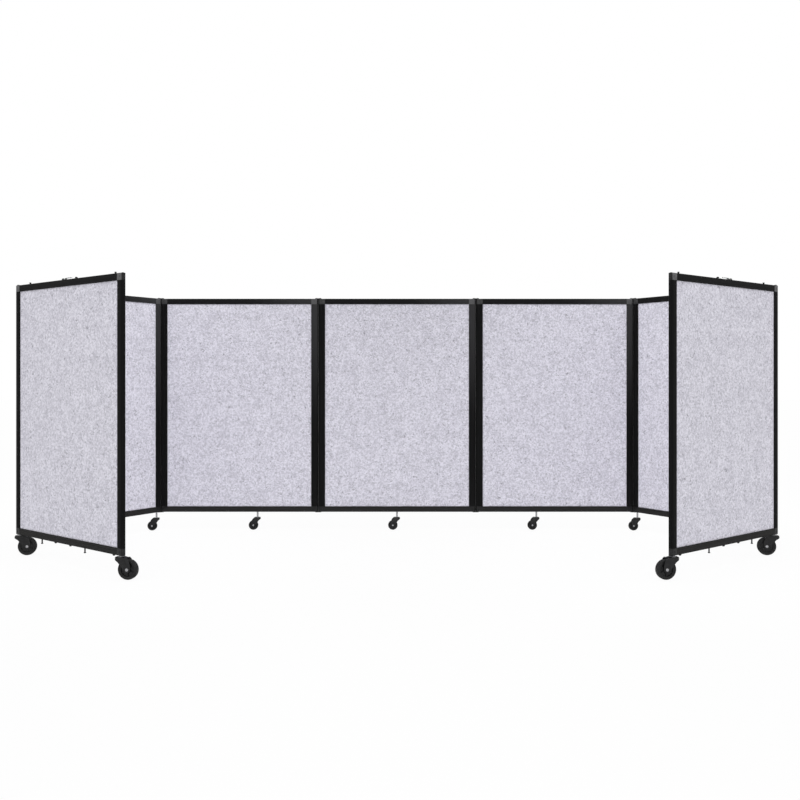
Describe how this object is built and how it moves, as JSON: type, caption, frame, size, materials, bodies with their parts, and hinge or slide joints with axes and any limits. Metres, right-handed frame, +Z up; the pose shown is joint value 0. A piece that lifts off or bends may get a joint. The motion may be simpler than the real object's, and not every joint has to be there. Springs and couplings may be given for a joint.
{
  "type": "rolling folding room partition",
  "caption": "Free-standing rolling partition of framed felt-faced polycarbonate leaves that fold either way on double-pivot hinges, with braked casters at the ends.",
  "frame": {"origin": "middle of the standing partition's overall box, on the floor", "axes": "+X to the right along the straight middle leaves, +Y to the back, away from the side the end leaves fold towards, +Z up"},
  "size_m": [3.4804, 1.2498, 1.236],
  "materials": {
    "frame_aluminium": "black anodised, satin",
    "block_plastic": "dark grey moulded, matt",
    "sheet_polycarbonate": "clear polycarbonate",
    "felt": "pale lavender-grey pressed felt with darker fibres",
    "hinge_steel": "black, satin",
    "caster_steel": "black, with silver stem and axle heads",
    "wheel_rubber": "black moulded, matt",
    "pedal_plastic": "black moulded",
    "fitting_plastic": "black moulded",
    "strap_clear": "clear flexible plastic"
  },
  "bodies": {
    "leaf_1": {"leaf_1_frame": "frame_aluminium", "leaf_1_corner_blocks": "block_plastic", "leaf_1_sheet": "sheet_polycarbonate", "leaf_1_felts": "felt", "leaf_1_edge_fittings": "fitting_plastic", "leaf_1_strap": "strap_clear"},
    "leaf_2": {"leaf_2_frame": "frame_aluminium", "leaf_2_corner_blocks": "block_plastic", "leaf_2_sheet": "sheet_polycarbonate", "leaf_2_felts": "felt"},
    "leaf_3": {"leaf_3_frame": "frame_aluminium", "leaf_3_corner_blocks": "block_plastic", "leaf_3_sheet": "sheet_polycarbonate", "leaf_3_felts": "felt"},
    "leaf_4": {"leaf_4_frame": "frame_aluminium", "leaf_4_corner_blocks": "block_plastic", "leaf_4_sheet": "sheet_polycarbonate", "leaf_4_felts": "felt"},
    "leaf_5": {"leaf_5_frame": "frame_aluminium", "leaf_5_corner_blocks": "block_plastic", "leaf_5_sheet": "sheet_polycarbonate", "leaf_5_felts": "felt"},
    "leaf_6": {"leaf_6_frame": "frame_aluminium", "leaf_6_corner_blocks": "block_plastic", "leaf_6_sheet": "sheet_polycarbonate", "leaf_6_felts": "felt"},
    "leaf_7": {"leaf_7_frame": "frame_aluminium", "leaf_7_corner_blocks": "block_plastic", "leaf_7_sheet": "sheet_polycarbonate", "leaf_7_felts": "felt", "leaf_7_edge_fittings": "fitting_plastic", "leaf_7_strap": "strap_clear"},
    "hinge_1_2": {"hinge_1_2": "hinge_steel"},
    "hinge_2_3": {"hinge_2_3": "hinge_steel"},
    "hinge_3_4": {"hinge_3_4": "hinge_steel"},
    "hinge_4_5": {"hinge_4_5": "hinge_steel"},
    "hinge_5_6": {"hinge_5_6": "hinge_steel"},
    "hinge_6_7": {"hinge_6_7": "hinge_steel"},
    "near_left_caster_fork": {"near_left_caster_fork": "caster_steel"},
    "near_left_caster_wheel": {"near_left_caster_wheel": "wheel_rubber"},
    "near_left_brake_pedal": {"near_left_brake_pedal": "pedal_plastic"},
    "far_left_caster_fork": {"far_left_caster_fork": "caster_steel"},
    "far_left_caster_wheel": {"far_left_caster_wheel": "wheel_rubber"},
    "far_left_brake_pedal": {"far_left_brake_pedal": "pedal_plastic"},
    "far_right_caster_fork": {"far_right_caster_fork": "caster_steel"},
    "far_right_caster_wheel": {"far_right_caster_wheel": "wheel_rubber"},
    "far_right_brake_pedal": {"far_right_brake_pedal": "pedal_plastic"},
    "near_right_caster_fork": {"near_right_caster_fork": "caster_steel"},
    "near_right_caster_wheel": {"near_right_caster_wheel": "wheel_rubber"},
    "near_right_brake_pedal": {"near_right_brake_pedal": "pedal_plastic"},
    "leaf_2_caster_fork": {"leaf_2_caster_fork": "caster_steel"},
    "leaf_2_caster_wheel": {"leaf_2_caster_wheel": "wheel_rubber"},
    "leaf_3_caster_fork": {"leaf_3_caster_fork": "caster_steel"},
    "leaf_3_caster_wheel": {"leaf_3_caster_wheel": "wheel_rubber"},
    "leaf_4_caster_fork": {"leaf_4_caster_fork": "caster_steel"},
    "leaf_4_caster_wheel": {"leaf_4_caster_wheel": "wheel_rubber"},
    "leaf_5_caster_fork": {"leaf_5_caster_fork": "caster_steel"},
    "leaf_5_caster_wheel": {"leaf_5_caster_wheel": "wheel_rubber"},
    "leaf_6_caster_fork": {"leaf_6_caster_fork": "caster_steel"},
    "leaf_6_caster_wheel": {"leaf_6_caster_wheel": "wheel_rubber"}
  },
  "joints": [
    {"name": "hinge_4_5_left_pivot", "type": "hinge", "parent": "leaf_4", "child": "hinge_4_5", "pos_m": [0.4084, 0.61156, 0], "axis": [0, 0, 1], "range_deg": [-90, 90]},
    {"name": "hinge_4_5_right_pivot", "type": "hinge", "parent": "hinge_4_5", "child": "leaf_5", "pos_m": [0.4296, 0.61156, 0], "axis": [0, 0, 1], "range_deg": [-90, 90]},
    {"name": "hinge_5_6_left_pivot", "type": "hinge", "parent": "leaf_5", "child": "hinge_5_6", "pos_m": [1.2464, 0.61156, 0], "axis": [0, 0, -1], "range_deg": [-117.65, 62.35]},
    {"name": "hinge_5_6_right_pivot", "type": "hinge", "parent": "hinge_5_6", "child": "leaf_6", "pos_m": [1.26518, 0.60172, 0], "axis": [0, 0, -1], "range_deg": [-117.65, 62.35]},
    {"name": "hinge_6_7_left_pivot", "type": "hinge", "parent": "leaf_6", "child": "hinge_6_7", "pos_m": [1.73017, -0.06981, 0], "axis": [0, 0, 1], "range_deg": [-41.4, 126.6]},
    {"name": "hinge_6_7_right_pivot", "type": "hinge", "parent": "hinge_6_7", "child": "leaf_7", "pos_m": [1.72725, -0.09081, 0], "axis": [0, 0, 1], "range_deg": [-41.4, 126.6]},
    {"name": "hinge_3_4_right_pivot", "type": "hinge", "parent": "leaf_4", "child": "hinge_3_4", "pos_m": [-0.4084, 0.61156, 0], "axis": [0, 0, 1], "range_deg": [-90, 90]},
    {"name": "hinge_3_4_left_pivot", "type": "hinge", "parent": "hinge_3_4", "child": "leaf_3", "pos_m": [-0.4296, 0.61156, 0], "axis": [0, 0, 1], "range_deg": [-90, 90]},
    {"name": "hinge_2_3_right_pivot", "type": "hinge", "parent": "leaf_3", "child": "hinge_2_3", "pos_m": [-1.2464, 0.61156, 0], "axis": [0, 0, -1], "range_deg": [-62.35, 117.65]},
    {"name": "hinge_2_3_left_pivot", "type": "hinge", "parent": "hinge_2_3", "child": "leaf_2", "pos_m": [-1.26518, 0.60172, 0], "axis": [0, 0, -1], "range_deg": [-62.35, 117.65]},
    {"name": "hinge_1_2_right_pivot", "type": "hinge", "parent": "leaf_2", "child": "hinge_1_2", "pos_m": [-1.73017, -0.06981, 0], "axis": [0, 0, 1], "range_deg": [-126.6, 41.4]},
    {"name": "hinge_1_2_left_pivot", "type": "hinge", "parent": "hinge_1_2", "child": "leaf_1", "pos_m": [-1.72725, -0.09081, 0], "axis": [0, 0, 1], "range_deg": [-126.6, 41.4]},
    {"name": "near_left_caster_swivel", "type": "hinge", "parent": "leaf_1", "child": "near_left_caster_fork", "pos_m": [-1.10779, -0.60145, 0.096], "axis": [0, 0, 1], "continuous": true},
    {"name": "near_left_wheel_spin", "type": "hinge", "parent": "near_left_caster_fork", "child": "near_left_caster_wheel", "pos_m": [-1.07619, -0.60645, 0.041], "axis": [0.1564, 0.9877, 0], "continuous": true},
    {"name": "near_left_brake", "type": "hinge", "parent": "near_left_caster_fork", "child": "near_left_brake_pedal", "pos_m": [-1.0989, -0.60286, 0.082], "axis": [0.1564, 0.9877, 0], "range_deg": [0, 7]},
    {"name": "far_left_caster_swivel", "type": "hinge", "parent": "leaf_1", "child": "far_left_caster_fork", "pos_m": [-1.71645, -0.09971, 0.096], "axis": [0, 0, 1], "continuous": true},
    {"name": "far_left_wheel_spin", "type": "hinge", "parent": "far_left_caster_fork", "child": "far_left_caster_wheel", "pos_m": [-1.68527, -0.09251, 0.041], "axis": [-0.225, 0.9744, 0], "continuous": true},
    {"name": "far_left_brake", "type": "hinge", "parent": "far_left_caster_fork", "child": "far_left_brake_pedal", "pos_m": [-1.70768, -0.09769, 0.082], "axis": [-0.225, 0.9744, 0], "range_deg": [0, 7]},
    {"name": "far_right_caster_swivel", "type": "hinge", "parent": "leaf_7", "child": "far_right_caster_fork", "pos_m": [1.71645, -0.09971, 0.096], "axis": [0, 0, 1], "continuous": true},
    {"name": "far_right_wheel_spin", "type": "hinge", "parent": "far_right_caster_fork", "child": "far_right_caster_wheel", "pos_m": [1.68527, -0.09251, 0.041], "axis": [-0.225, -0.9744, 0], "continuous": true},
    {"name": "far_right_brake", "type": "hinge", "parent": "far_right_caster_fork", "child": "far_right_brake_pedal", "pos_m": [1.70768, -0.09769, 0.082], "axis": [-0.225, -0.9744, 0], "range_deg": [0, 7]},
    {"name": "near_right_caster_swivel", "type": "hinge", "parent": "leaf_7", "child": "near_right_caster_fork", "pos_m": [1.10779, -0.60145, 0.096], "axis": [0, 0, 1], "continuous": true},
    {"name": "near_right_wheel_spin", "type": "hinge", "parent": "near_right_caster_fork", "child": "near_right_caster_wheel", "pos_m": [1.07619, -0.60645, 0.041], "axis": [0.1564, -0.9877, 0], "continuous": true},
    {"name": "near_right_brake", "type": "hinge", "parent": "near_right_caster_fork", "child": "near_right_brake_pedal", "pos_m": [1.0989, -0.60286, 0.082], "axis": [0.1564, -0.9877, 0], "range_deg": [0, 7]},
    {"name": "leaf_2_caster_swivel", "type": "hinge", "parent": "leaf_2", "child": "leaf_2_caster_fork", "pos_m": [-1.27395, 0.58906, 0.096], "axis": [0, 0, 1], "continuous": true},
    {"name": "leaf_2_wheel_spin", "type": "hinge", "parent": "leaf_2_caster_fork", "child": "leaf_2_caster_wheel", "pos_m": [-1.29595, 0.58906, 0.025], "axis": [0, -1, 0], "continuous": true},
    {"name": "leaf_3_caster_swivel", "type": "hinge", "parent": "leaf_3", "child": "leaf_3_caster_fork", "pos_m": [-0.7416, 0.61156, 0.096], "axis": [0, 0, 1], "continuous": true},
    {"name": "leaf_3_wheel_spin", "type": "hinge", "parent": "leaf_3_caster_fork", "child": "leaf_3_caster_wheel", "pos_m": [-0.7636, 0.61156, 0.025], "axis": [0, -1, 0], "continuous": true},
    {"name": "leaf_4_caster_swivel", "type": "hinge", "parent": "leaf_4", "child": "leaf_4_caster_fork", "pos_m": [0, 0.61156, 0.096], "axis": [0, 0, 1], "continuous": true},
    {"name": "leaf_4_wheel_spin", "type": "hinge", "parent": "leaf_4_caster_fork", "child": "leaf_4_caster_wheel", "pos_m": [-0.022, 0.61156, 0.025], "axis": [0, -1, 0], "continuous": true},
    {"name": "leaf_5_caster_swivel", "type": "hinge", "parent": "leaf_5", "child": "leaf_5_caster_fork", "pos_m": [0.7416, 0.61156, 0.096], "axis": [0, 0, 1], "continuous": true},
    {"name": "leaf_5_wheel_spin", "type": "hinge", "parent": "leaf_5_caster_fork", "child": "leaf_5_caster_wheel", "pos_m": [0.7196, 0.61156, 0.025], "axis": [0, -1, 0], "continuous": true},
    {"name": "leaf_6_caster_swivel", "type": "hinge", "parent": "leaf_6", "child": "leaf_6_caster_fork", "pos_m": [1.27395, 0.58906, 0.096], "axis": [0, 0, 1], "continuous": true},
    {"name": "leaf_6_wheel_spin", "type": "hinge", "parent": "leaf_6_caster_fork", "child": "leaf_6_caster_wheel", "pos_m": [1.25195, 0.58906, 0.025], "axis": [0, -1, 0], "continuous": true}
  ]
}
